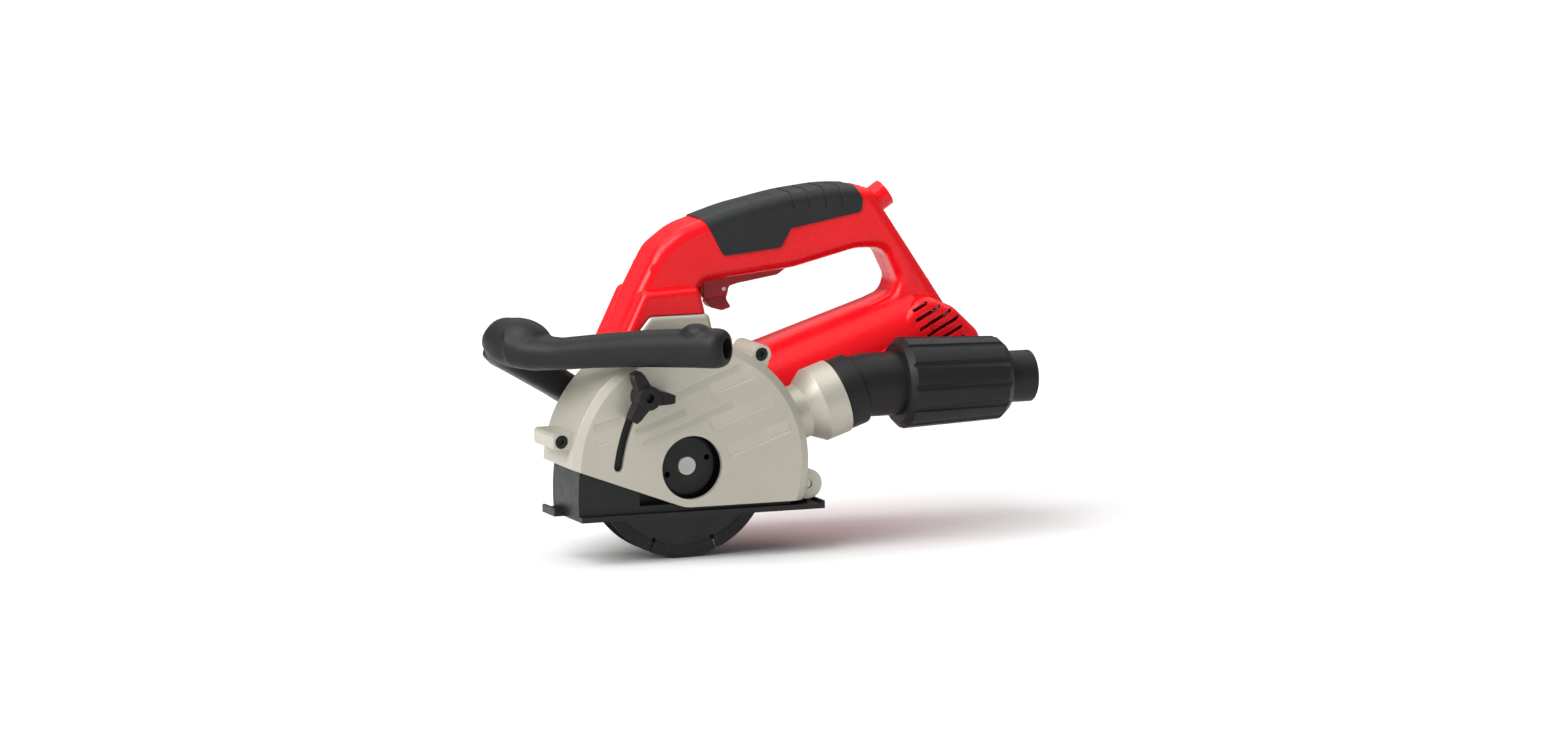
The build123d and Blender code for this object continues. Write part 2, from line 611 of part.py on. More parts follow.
with BuildPart() as gearhead:
    with BuildSketch(side(GEARHEAD_FAR)):
        Circle(GEARHEAD_R)
    extrude(amount=GEARHEAD_FAR - FAR - 5)
    fillet(gearhead.edges().group_by(Axis.Y)[-1], 7)
    with BuildSketch(motor(0)):
        Circle(BARREL[0])
    extrude(amount=MOTOR_FACE)
    add(prism(PEDESTAL, MOTOR_Y, 28.5, 4))
    with BuildSketch(foot(0)):
        Rectangle(2 * FOOT_HALF, 2 * LEG_HALF)
    extrude(amount=26)
    with BuildSketch(side(FAR + 5)):
        Circle(38.8)
    extrude(amount=10, mode=Mode.SUBTRACT)
    with BuildSketch(side(84)):
        Circle(28.5)
    extrude(amount=60, mode=Mode.SUBTRACT)
    with BuildSketch(side(93)):
        Circle(11.0 + SEAT)
    extrude(amount=10, mode=Mode.SUBTRACT)
    with BuildSketch(motor(18)):
        Circle(10.0)
    extrude(amount=20, mode=Mode.SUBTRACT)
    with BuildSketch(motor(36)):
        Circle(13.0 + SEAT)
    extrude(amount=10, mode=Mode.SUBTRACT)
    with BuildSketch(motor(46)):
        Circle(33.0)
    extrude(amount=20, mode=Mode.SUBTRACT)
    with BuildSketch(side(FAR + 9.5)):
        with Locations(*mount_holes):
            Circle(2.0 + AXIS_GAP)
    extrude(amount=10, mode=Mode.SUBTRACT)
    with BuildSketch(foot(0)):
        with Locations(*foot_bolts):
            Circle(3.0 + AXIS_GAP)
    extrude(amount=16, mode=Mode.SUBTRACT)
    with BuildSketch(tilted(-24, 0, LOCK_Y)):
        Circle(2.5 + AXIS_GAP)
    extrude(amount=-20, mode=Mode.SUBTRACT)
    with BuildSketch(motor(46)):
        with PolarLocations(BARREL[0] + 1.5, 4, start_angle=45):
            Circle(4.6)
    extrude(amount=12)
    with BuildSketch(motor(44)):
        with PolarLocations(BARREL[0] + 1.5, 4, start_angle=45):
            Circle(2.2)
    extrude(amount=20, mode=Mode.SUBTRACT)
    with BuildSketch(motor(32)):
        with PolarLocations(BARREL[0] + 1.5, 4, start_angle=45):
            Circle(4.0)
    extrude(amount=14, mode=Mode.SUBTRACT)

with BuildPart() as gearhead_screws:
    with BuildSketch(motor(46)):
        with PolarLocations(BARREL[0] + 1.5, 4, start_angle=45):
            Circle(2.0)
    extrude(amount=24)
    with BuildSketch(motor(42.5)):
        with PolarLocations(BARREL[0] + 1.5, 4, start_angle=45):
            Circle(3.6)
    extrude(amount=3.5)

with BuildPart() as bearing_flange:
    with BuildSketch(side(FAR + 5)):
        Circle(38.5)
    extrude(amount=4.9)
    with BuildSketch(side(43)):
        Circle(19.5)
    extrude(amount=43 - FAR - 5)
    with BuildSketch(side(43)):
        Circle(16.0 + SEAT)
    extrude(amount=12, mode=Mode.SUBTRACT)
    with BuildSketch(side(31)):
        Circle(9.4)
    extrude(amount=3, mode=Mode.SUBTRACT)
    with BuildSketch(side(FAR + 5)):
        with Locations(*mount_holes):
            Circle(2.0 + AXIS_GAP)
    extrude(amount=6, mode=Mode.SUBTRACT)


def bearing(plane, outer, inner, width):
    """Sealed ball bearing: two races and a recessed seal on each side."""
    shield = (outer - inner) * 0.22
    with BuildPart() as race:
        add(ring(plane, outer, inner, width))
        for face in race.faces().filter_by(GeomType.PLANE).sort_by(Axis(plane.origin, plane.z_dir)):
            with BuildSketch(Plane(face.center(), x_dir=plane.x_dir, z_dir=face.normal_at())):
                Circle(outer - shield)
                Circle(inner + shield, mode=Mode.SUBTRACT)
            extrude(amount=-0.5, mode=Mode.SUBTRACT)
    return race.part


with BuildPart() as spindle_front_bearing:
    add(bearing(side(41.5), 16.0, 7.5 + AXIS_GAP, 10))

with BuildPart() as spindle_rear_bearing:
    add(bearing(side(92.5), 11.0, 5.0 + AXIS_GAP, 8))

with BuildPart() as spindle_lock_button:
    with BuildSketch(tilted(-10.2, 0, LOCK_Y)):
        Circle(2.5)
    extrude(amount=-36)
    with BuildSketch(tilted(-40 - LOCK_TRAVEL - 0.4, 0, LOCK_Y)):
        Circle(7.0)
    extrude(amount=-5)
    fillet(spindle_lock_button.edges().group_by(Axis.X)[0], 1.5)

# ---------------------------------------------------------------- motor
with BuildPart() as armature_shaft:
    for start, finish, radius in [(tooth_ends[0] - 1, 32.5, 2.5), (32.5, 152, 5.0), (152, 160, 4.0)]:
        with BuildSketch(motor(start)):
            Circle(radius)
        extrude(amount=finish - start)

with BuildPart() as rotor_front_bearing:
    add(bearing(motor(36.3), 13.0, 5.0 + AXIS_GAP, 9))

with BuildPart() as rotor_rear_bearing:
    add(bearing(motor(153), 9.5, 4.0 + AXIS_GAP, 6.5))

FAN_BLADES = 18

with BuildPart() as fan:
    with BuildSketch(motor(48)):
        Circle(30.0)
        Circle(5.0 + SEAT, mode=Mode.SUBTRACT)
    extrude(amount=1.6)
    with BuildSketch(motor(48)):
        Circle(8.5)
        Circle(5.0 + SEAT, mode=Mode.SUBTRACT)
    extrude(amount=9)
    with BuildSketch(motor(48)):
        with PolarLocations(22.0, FAN_BLADES):
            Rectangle(15, 1.4)
    extrude(amount=8)

with BuildPart() as armature_core:
    with BuildSketch(motor(76)):
        Circle(20.0)
        Circle(5.0 + SEAT, mode=Mode.SUBTRACT)
        with PolarLocations(18.0, 12):
            SlotOverall(5.0, 2.4, mode=Mode.SUBTRACT)
    extrude(amount=44)

with BuildPart() as armature_windings:
    for start in (66.5, 120.1):
        with BuildSketch(motor(start)):
            Circle(17.5)
            Circle(5.0 + SEAT, mode=Mode.SUBTRACT)
        extrude(amount=9.4)
    fillet(armature_windings.edges().filter_by(GeomType.CIRCLE).filter_by(lambda e: e.radius > 17), 3)

with BuildPart() as commutator:
    with BuildSketch(motor(132)):
        Circle(11.0)
        Circle(5.0 + SEAT, mode=Mode.SUBTRACT)
        with PolarLocations(11.0, 24):
            Rectangle(1.4, 0.5, mode=Mode.SUBTRACT)
    extrude(amount=16)

with BuildPart() as stator_core:
    with BuildSketch(motor(76)):
        Circle(31.5)
        Circle(20.7, mode=Mode.SUBTRACT)
        for angle in (90, 270):
            with PolarLocations(31.0, 1, start_angle=angle):
                Rectangle(6, 4, mode=Mode.SUBTRACT)
    extrude(amount=44)

with BuildPart() as field_coils:
    for start in (67, 120.1):
        with BuildSketch(motor(start)):
            Circle(30.0)
            Circle(21.5, mode=Mode.SUBTRACT)
        extrude(amount=8.9)

brush_plane = tilted(140, MOTOR_TILT, MOTOR_Y)


def brush_box(half_x, half_y, start, finish):
    """Box along +-Y at the commutator, mirrored to both sides of the motor."""
    with BuildPart() as piece:
        for sense in (-1, 1):
            middle = MOTOR_Y + sense * (start + finish) / 2
            origin = (brush_plane.origin.X, middle, brush_plane.origin.Z)
            with BuildSketch(Plane(origin=origin, x_dir=brush_plane.z_dir, z_dir=(0, -1, 0))):
                Rectangle(2 * half_x, 2 * half_y)
            extrude(amount=(finish - start) / 2, both=True)
    return piece.part


with BuildPart() as brush_holders:
    add(brush_box(6.0, 5.0, 12.0, 28.5))
    add(brush_box(4.4, 3.4, 11.0, 27.0), mode=Mode.SUBTRACT)

with BuildPart() as carbon_brushes:
    add(brush_box(4.3, 3.3, 11.15, 20.0))

with BuildPart() as brush_springs:
    add(brush_box(2.8, 2.8, 20.1, 26.9))

# ---------------------------------------------------------------- motor housing and D-handle
INLET = (166.5, 158.5)                  # cable inlet on the handle's rear corner
INLET_R, INLET_END = 9.5, 13.2          # tube of the inlet: outer radius, end
inlet_along = (cos(radians(33)), 0, sin(radians(33)))
BULKHEAD = (152.5, 8.0)                 # rear bearing seat along the motor axis, its depth
SEAM_GAP = 0.1                          # each half stops this far from the parting plane
VENT_LENGTHS, VENT_WIDTH = (12, 21, 28, 28, 20, 11), 2.6
VENT_START, VENT_STEP = (193.3, 88.5), (5.4, -4.7)      # X and Z of the first slot, then per slot
TRIGGER_HALF = 9.0
TRIGGER = [
    (41.5, 113, 1.5), (41.5, 99.3, 3), (59, 101.2, 1.2), (60.5, 108, 2.5), (67, 109.7, 3), (95.4, 114, 5),
    (104, 119.5, 1.5), (104.5, 126.5, 3), (97, 128, 3), (84, 121, 4), (60, 117, 4),
]
TRIGGER_PIVOT = (99.5, 123.0)
HOOK_PIVOT = (56.5, 106.3)
HOOK = [
    (44, 99.6, 3), (48.5, 93.5, 4), (57, 91, 4), (63.5, 93, 1), (60.3, 98.5, 3), (60.2, 107, 2.8),
    (56, 110.3, 2.8), (52.8, 107, 2.5), (51, 101, 2),
]


def inlet(distance):
    """Plane across the cable inlet."""
    origin = (SPINDLE_X + INLET[0] + distance * inlet_along[0], MOTOR_Y,
              SPINDLE_Z + INLET[1] + distance * inlet_along[2])
    return Plane(origin=origin, x_dir=(0, 1, 0), z_dir=inlet_along)


def housing_mass(inset, rounded):
    """D-handle, leg base, barrel and tail as one mass, drawn in by inset."""
    with BuildPart() as mass:
        add(prism(GRIP_LOOP, MOTOR_Y, GRIP_HALF - inset, 8 if rounded else 4, inset))
        add(prism(LEG_BASE, MOTOR_Y, 27 - inset, 5 if rounded else 0, inset))
        add(prism(TAIL, MOTOR_Y, 31 - inset, 8 if rounded else 3, inset))
        add(prism(CHEEK, MOTOR_Y, 34 - inset, 4 if rounded else 0, inset))
        with BuildSketch(motor(MOTOR_FACE)):
            Circle(BARREL[0] - inset)
        with BuildSketch(motor(BARREL[2])):
            Circle(BARREL[1] - inset)
        loft()
        with BuildSketch(motor(BARREL[2])):
            Circle(BARREL[1] - inset)
        extrude(amount=BARREL[3] - BARREL[2] - inset)
    return mass.part


outer_mass = housing_mass(0, True)
inner_mass = housing_mass(HOUSING_WALL, False)


def housing_half(sense):
    """One clamshell half: sense -1 is the near half, +1 the far half."""
    with BuildPart() as half:
        add(outer_mass)
        with BuildSketch(inlet(-14)):
            Circle(INLET_R)
        extrude(amount=14 + INLET_END)
        add(inner_mass, mode=Mode.SUBTRACT)
        with BuildSketch(motor(BULKHEAD[0])):
            Circle(31.5)
        extrude(amount=BULKHEAD[1])
        with BuildSketch(motor(BULKHEAD[0])):
            Circle(9.5 + SEAT)
            with PolarLocations(21.0, 6):
                Circle(6.0)
        extrude(amount=BULKHEAD[1], mode=Mode.SUBTRACT)
        for x, z, width in HOUSING_SCREWS:
            with BuildSketch(side(MOTOR_Y + width - 1.5)):
                with Locations((x, z)):
                    Circle(5.5)
            extrude(amount=2 * width - 3)
        with BuildSketch(motor(MOTOR_FACE)):
            with PolarLocations(BARREL[0] + 1.5, 4, start_angle=45):
                Circle(4.6)
        extrude(amount=14)
        with BuildSketch(motor(MOTOR_FACE)):
            Circle(BARREL[0] - HOUSING_WALL - 0.2)
            with PolarLocations(BARREL[0] + 1.5, 4, start_angle=45):
                Circle(2.0 + AXIS_GAP)
        extrude(amount=13, mode=Mode.SUBTRACT)
        with BuildSketch(side(MOTOR_Y + 8)):
            with Locations(*[(x, z) for x, z, width in HOUSING_SCREWS]):
                Circle(1.9 + AXIS_GAP)
        extrude(amount=22, mode=Mode.SUBTRACT)
        with BuildSketch(side(MOTOR_Y + 40)):
            with Locations(*[(x, z) for x, z, width in HOUSING_SCREWS]):
                Circle(4.0)
        extrude(amount=32, mode=Mode.SUBTRACT)
        with BuildSketch(inlet(-15)):
            Circle(6.0)
        extrude(amount=30, mode=Mode.SUBTRACT)
        with BuildSketch(inlet(INLET_END - 2.2)):
            Circle(7.7)
        extrude(amount=3, mode=Mode.SUBTRACT)
        for row, length in enumerate(VENT_LENGTHS):
            place = row + 0.25 * sense          # the two sides' slots are staggered
            with BuildSketch(side(MOTOR_Y + 40)):
                with Locations((VENT_START[0] + VENT_STEP[0] * place, VENT_START[1] + VENT_STEP[1] * place)):
                    SlotOverall(length, VENT_WIDTH, rotation=28)
            extrude(amount=80, mode=Mode.SUBTRACT)
        with BuildSketch(side(MOTOR_Y + TRIGGER_HALF + 0.5)):
            with Locations((72.8, 113)):
                Rectangle(67, 20)
        extrude(amount=2 * TRIGGER_HALF + 1, mode=Mode.SUBTRACT)
        with BuildSketch(side(MOTOR_Y + GRIP_HALF - 2)):
            with Locations(TRIGGER_PIVOT):
                Circle(2.0 + SEAT)
        extrude(amount=2 * GRIP_HALF - 4, mode=Mode.SUBTRACT)
        add(prism(PEDESTAL, MOTOR_Y, 29, 0, -0.2), mode=Mode.SUBTRACT)
        split(bisect_by=Plane(origin=(0, MOTOR_Y + sense * SEAM_GAP, 0), z_dir=(0, sense, 0)), keep=Keep.TOP)
    return half.part


with BuildPart() as housing_near:
    add(housing_half(-1))

with BuildPart() as housing_far:
    add(housing_half(1))


with BuildPart() as grooves:
    with BuildSketch(side(MOTOR_Y + 30)):
        with Locations(*[(x, 170) for x in GROOVE_PLACES]):
            Rectangle(1.3, 21, rotation=8)
    extrude(amount=60)
    groove_floor = prism(GRIP_LOOP, MOTOR_Y, GRIP_HALF + GROOVE_FLOOR, 8 + GROOVE_FLOOR, -GROOVE_FLOOR)
    add(groove_floor, mode=Mode.SUBTRACT)
grip_grooves = grooves.part


def grip_half(sense):
    """Soft grip skin over one half of the handle."""
    with BuildPart() as skin:
        add(prism(GRIP_LOOP, MOTOR_Y, GRIP_HALF + PAD_T, 8 + PAD_T, -PAD_T))
        with BuildSketch(side(MOTOR_Y + 30)):
            add(outline(GRIP_PAD, 0))
        extrude(amount=60, mode=Mode.INTERSECT)
        add(outer_mass, mode=Mode.SUBTRACT)
        add(grip_grooves, mode=Mode.SUBTRACT)
        split(bisect_by=Plane(origin=(0, MOTOR_Y + sense * SEAM_GAP, 0), z_dir=(0, sense, 0)), keep=Keep.TOP)
    return skin.part


with BuildPart() as grip_pad_near:
    add(grip_half(-1))

with BuildPart() as grip_pad_far:
    add(grip_half(1))

with BuildPart() as housing_screws:
    for x, z, width in HOUSING_SCREWS:
        with BuildSketch(side(MOTOR_Y + 8)):
            with Locations((x, z)):
                Circle(1.9)
        extrude(amount=21)
        with BuildSketch(side(MOTOR_Y + 10.5)):
            with Locations((x, z)):
                Circle(3.7)
                RegularPolygon(1.7, 6, mode=Mode.SUBTRACT)
        extrude(amount=1.5)
        with BuildSketch(side(MOTOR_Y + 9)):
            with Locations((x, z)):
                Circle(3.7)
        extrude(amount=1.0)

with BuildPart() as cable_bushing:
    with BuildSketch(inlet(-6)):
        Circle(5.9)
        Circle(3.6, mode=Mode.SUBTRACT)
    extrude(amount=17.5)
    with BuildSketch(inlet(11.2)):
        Circle(7.6)
        Circle(3.6, mode=Mode.SUBTRACT)
    extrude(amount=1.8)

# ---------------------------------------------------------------- switch and electronics
with BuildPart() as trigger:
    add(prism(TRIGGER, MOTOR_Y, TRIGGER_HALF, 1.0))
    with BuildSketch(side(MOTOR_Y + 5)):
        with Locations((51, 105.5)):
            Rectangle(30, 13.6)
    extrude(amount=10, mode=Mode.SUBTRACT)
    with BuildSketch(side(MOTOR_Y + TRIGGER_HALF)):
        with Locations(TRIGGER_PIVOT):
            Circle(2.0 + AXIS_GAP)
        with Locations(HOOK_PIVOT):
            Circle(1.5)
    extrude(amount=2 * TRIGGER_HALF, mode=Mode.SUBTRACT)

with BuildPart() as trigger_pin:
    with BuildSketch(side(MOTOR_Y + 16.2)):
        with Locations(TRIGGER_PIVOT):
            Circle(2.0)
    extrude(amount=32.4)

with BuildPart() as lock_off_pin:
    with BuildSketch(side(MOTOR_Y + TRIGGER_HALF)):
        with Locations(HOOK_PIVOT):
            Circle(1.48)
    extrude(amount=2 * TRIGGER_HALF)

with BuildPart() as lock_off_lever:
    add(prism(HOOK, MOTOR_Y, 4.6, 0.6))
    with BuildSketch(side(MOTOR_Y + 5)):
        with Locations(HOOK_PIVOT):
            Circle(1.48 + AXIS_GAP)
    extrude(amount=10, mode=Mode.SUBTRACT)

with BuildPart() as switch_module:
    with BuildSketch(side(MOTOR_Y + 11)):
        with Locations((72, 138)):
            RectangleRounded(38, 20, 2)
    extrude(amount=22)
    with BuildSketch(side(MOTOR_Y + 3)):
        with Locations((66, 127)):
            Rectangle(6, 4)
    extrude(amount=6)

with BuildPart() as speed_electronics:
    with BuildSketch(motor(168)):
        RectangleRounded(40, 34, 3)
    extrude(amount=26)

# ---------------------------------------------------------------- dust outlet
with BuildPart() as dust_port:
    with BuildSketch(port(80)):
        Circle(NECK_R)
    extrude(amount=14)
    with BuildSketch(port(94)):
        Circle(NECK_R)
    with BuildSketch(port(RING_START)):
        Circle(RING_R)
    loft()
    with BuildSketch(port(RING_START)):
        Circle(RING_R)
    extrude(amount=RING_END - RING_START)
    with BuildSketch(side(40)):
        Circle(GUARD_R + SEAT)
    extrude(amount=80, mode=Mode.SUBTRACT)
    with BuildSketch(port(79)):
        Circle(NECK_R - 2.5)
    extrude(amount=12)
    with BuildSketch(port(70)):
        Circle(13.5)
    extrude(amount=60, mode=Mode.SUBTRACT)
    with BuildSketch(port(RING_START + 2)):
        Circle(21.0 + AXIS_GAP)
    extrude(amount=20, mode=Mode.SUBTRACT)

with BuildLine(side(0)) as elbow_route:
    FilletPolyline(polar(RING_END + 12, PORT_TILT), (SLEEVE_Z / tan(radians(PORT_TILT)), SLEEVE_Z),
                   (SLEEVE_START + 20, SLEEVE_Z), radius=30)

with BuildPart() as dust_elbow:
    with BuildSketch(port(RING_END + 12)):
        Circle(TUBE_R)
    sweep(path=elbow_route.line)
    with BuildSketch(port(RING_END + SLIP)):
        Circle(COLLAR_R)
    extrude(amount=COLLAR_END - RING_END - SLIP)
    fillet(dust_elbow.edges().filter_by(GeomType.CIRCLE).filter_by(lambda e: e.radius > 23), 1.5)
    with BuildSketch(port(RING_START + 4)):
        Circle(21.0)
    extrude(amount=RING_END - RING_START)
    with BuildSketch(port(RING_START + 7)):
        Circle(30)
        Circle(19.6, mode=Mode.SUBTRACT)
    extrude(amount=2.6, mode=Mode.SUBTRACT)
    with BuildSketch(port(RING_START + 4)):
        Circle(TUBE_R - 3)
    extrude(amount=RING_END - RING_START + 8.0, mode=Mode.SUBTRACT)
    with BuildSketch(port(RING_END + 12)):
        Circle(TUBE_R - 3)
    sweep(path=elbow_route.line, mode=Mode.SUBTRACT)

with BuildPart() as elbow_seal:
    with BuildSketch(port(RING_START + 7.2)):
        Circle(20.9)
        Circle(19.62, mode=Mode.SUBTRACT)
    extrude(amount=2.2)

sleeve_taper = degrees(atan2(SLEEVE_R[0] - SLEEVE_R[1], SLEEVE_END - SLEEVE_START))

with BuildPart() as dust_sleeve:
    with BuildSketch(sleeve(SLEEVE_START)):
        Circle(SLEEVE_R[0])
        with PolarLocations(SLEEVE_R[0] + 0.2, 12):
            Circle(1.7, mode=Mode.SUBTRACT)
    extrude(amount=SLEEVE_END - SLEEVE_START, taper=sleeve_taper)
    with BuildSketch(Plane.XY):
        with BuildLine():
            Polyline((SLEEVE_START - 1, 26), (SLEEVE_START - 1, 45), (SLEEVE_END + 1, 45),
                     (SLEEVE_END + 1, 23), (SLEEVE_END, 24), (SLEEVE_END - 5, 28.3), (SLEEVE_END - 12, 40),
                     (SLEEVE_START + 5, 40), (SLEEVE_START + 4, 31), (SLEEVE_START, 27), close=True)
        make_face()
    chamfer_tool = revolve(axis=Axis.X, mode=Mode.PRIVATE)
    add(chamfer_tool.moved(Location((SPINDLE_X, 0, SPINDLE_Z + SLEEVE_Z))), mode=Mode.SUBTRACT)
    with BuildSketch(sleeve(SLEEVE_START)):
        Circle(TUBE_R + AXIS_GAP)
    extrude(amount=21, mode=Mode.SUBTRACT)
    with BuildSketch(sleeve(SLEEVE_START)):
        Circle(16.5)
    extrude(amount=60, mode=Mode.SUBTRACT)
    with BuildSketch(sleeve(SLEEVE_END - 22)):
        Circle(SPIGOT_SEAT_R + SEAT)
    extrude(amount=30, mode=Mode.SUBTRACT)

with BuildPart() as hose_spigot:
    with BuildSketch(sleeve(SLEEVE_END - 21.9)):
        Circle(SPIGOT_SEAT_R)
    extrude(amount=22)
    with BuildSketch(sleeve(SLEEVE_END + 0.1)):
        Circle(SPIGOT_R)
    extrude(amount=SPIGOT_END - SLEEVE_END - 0.1)
    with BuildSketch(sleeve(SLEEVE_END - 21.9)):
        Circle(SPIGOT_BORE)
    extrude(amount=SPIGOT_END - SLEEVE_END + 21.9, mode=Mode.SUBTRACT)
    fillet(hose_spigot.edges().group_by(Axis.X)[-1], 0.8)

# ---------------------------------------------------------------- front handle
bar_near = Vector(SPINDLE_X + BAR_NEAR[0], BAR_NEAR[1], SPINDLE_Z + BAR_NEAR[2])
bar_far = Vector(SPINDLE_X + BAR_FAR[0], BAR_FAR[1], SPINDLE_Z + BAR_FAR[2])
LEG_LENGTH, LEG_T = 86.0, 20.0
KNUCKLE_R = 13.8

with BuildPart() as front_handle:
    with BuildSketch(foot(-LEG_LENGTH)):
        RectangleRounded(LEG_T, 2 * LEG_HALF, 6)
    extrude(amount=LEG_LENGTH)
    with BuildSketch(foot(-FOOT_T)):
        RectangleRounded(2 * FOOT_HALF, 2 * LEG_HALF, 5)
    extrude(amount=FOOT_T)
    with BuildSketch(side(FOOT_Y + LEG_HALF - 0.5)):
        with Locations((BAR_FAR[0], BAR_FAR[2])):
            Circle(KNUCKLE_R)
    extrude(amount=FOOT_Y + LEG_HALF - 0.5 - BAR_FAR[1] + BAR_R)
    with BuildSketch(Plane(origin=bar_far, z_dir=bar_near - bar_far)):
        Circle(BAR_R)
    extrude(amount=(bar_near - bar_far).length)
    chamfer(front_handle.edges().filter_by(GeomType.CIRCLE).sort_by_distance(bar_near)[0], 4)
    with BuildSketch(foot(-FOOT_T)):
        with Locations(*foot_bolts):
            Circle(3.0 + AXIS_GAP)
    extrude(amount=FOOT_T, mode=Mode.SUBTRACT)

with BuildPart() as handle_bolts:
    with BuildSketch(foot(-FOOT_T)):
        with Locations(*foot_bolts):
            Circle(3.0)
    extrude(amount=FOOT_T + 15)
    with BuildSketch(foot(-FOOT_T)):
        with Locations(*foot_bolts):
            Circle(4.8)
    extrude(amount=-5)

# ---------------------------------------------------------------- written pieces
pieces = {
    "guard_cover": guard_cover,
    "guard_base": guard_base,
    "guard_screws": guard_screws,
    "guard_mount_screws": guard_mount_screws,
    "shoe_pivot_pin": shoe_pivot_pin,
    "depth_shoe": depth_shoe,
    "sole_plate": sole_plate,
    "sole_rivets": sole_rivets,
    "depth_stud": depth_stud,
    "depth_washer": depth_washer,
    "depth_knob": depth_knob,
    "near_disc": near_disc,
    "far_disc": far_disc,
    "disc_spacer": disc_spacer,
    "inner_flange": inner_flange,
    "flange_nut": flange_nut,
    "spindle": spindle,
    "crown_gear": crown_gear,
    "pinion": pinion,
    "gearhead": gearhead,
    "gearhead_screws": gearhead_screws,
    "bearing_flange": bearing_flange,
    "spindle_front_bearing": spindle_front_bearing,
    "spindle_rear_bearing": spindle_rear_bearing,
    "spindle_lock_button": spindle_lock_button,
    "armature_shaft": armature_shaft,
    "armature_core": armature_core,
    "armature_windings": armature_windings,
    "commutator": commutator,
    "fan": fan,
    "rotor_front_bearing": rotor_front_bearing,
    "rotor_rear_bearing": rotor_rear_bearing,
    "stator_core": stator_core,
    "field_coils": field_coils,
    "brush_holders": brush_holders,
    "carbon_brushes": carbon_brushes,
    "brush_springs": brush_springs,
    "housing_near": housing_near,
    "housing_far": housing_far,
    "housing_screws": housing_screws,
    "grip_pad_near": grip_pad_near,
    "grip_pad_far": grip_pad_far,
    "cable_bushing": cable_bushing,
    "trigger": trigger,
    "trigger_pin": trigger_pin,
    "lock_off_lever": lock_off_lever,
    "lock_off_pin": lock_off_pin,
    "switch_module": switch_module,
    "speed_electronics": speed_electronics,
    "dust_port": dust_port,
    "dust_elbow": dust_elbow,
    "elbow_seal": elbow_seal,
    "dust_sleeve": dust_sleeve,
    "hose_spigot": hose_spigot,
    "front_handle": front_handle,
    "handle_bolts": handle_bolts,
}

os.makedirs("parts", exist_ok=True)
for label, piece in pieces.items():
    piece.part.label = label
    export_step(piece.part, "parts/" + label + ".step")
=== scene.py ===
import json
from math import cos, pi, radians, sin

import bmesh
import bpy
from mathutils import Matrix, Vector


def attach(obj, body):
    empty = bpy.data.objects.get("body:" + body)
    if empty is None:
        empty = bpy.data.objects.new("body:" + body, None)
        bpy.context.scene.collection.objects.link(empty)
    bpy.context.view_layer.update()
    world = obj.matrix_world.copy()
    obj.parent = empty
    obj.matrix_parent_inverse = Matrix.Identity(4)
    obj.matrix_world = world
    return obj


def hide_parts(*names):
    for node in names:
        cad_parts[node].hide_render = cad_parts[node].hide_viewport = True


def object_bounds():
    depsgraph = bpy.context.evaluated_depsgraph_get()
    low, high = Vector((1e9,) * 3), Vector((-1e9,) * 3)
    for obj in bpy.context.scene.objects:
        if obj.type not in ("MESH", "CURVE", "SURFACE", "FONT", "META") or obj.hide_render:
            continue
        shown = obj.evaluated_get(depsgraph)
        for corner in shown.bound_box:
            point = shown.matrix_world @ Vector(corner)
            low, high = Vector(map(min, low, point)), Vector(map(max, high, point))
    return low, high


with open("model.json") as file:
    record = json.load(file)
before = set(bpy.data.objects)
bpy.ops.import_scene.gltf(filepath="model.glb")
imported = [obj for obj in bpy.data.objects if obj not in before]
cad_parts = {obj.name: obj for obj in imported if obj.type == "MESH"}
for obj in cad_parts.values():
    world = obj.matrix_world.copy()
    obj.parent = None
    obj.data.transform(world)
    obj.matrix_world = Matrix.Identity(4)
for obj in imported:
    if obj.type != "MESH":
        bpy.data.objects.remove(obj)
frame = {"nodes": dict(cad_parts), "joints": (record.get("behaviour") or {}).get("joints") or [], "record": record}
cad_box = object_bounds()

MM = 0.001
scene = bpy.context.scene
joints = {joint["name"]: joint for joint in frame["joints"]}
spindle_axis = Vector(joints["spindle_spin"]["pos_m"])
RIM_START = 54.0 * MM        # radius at which a disc's sintered rim begins


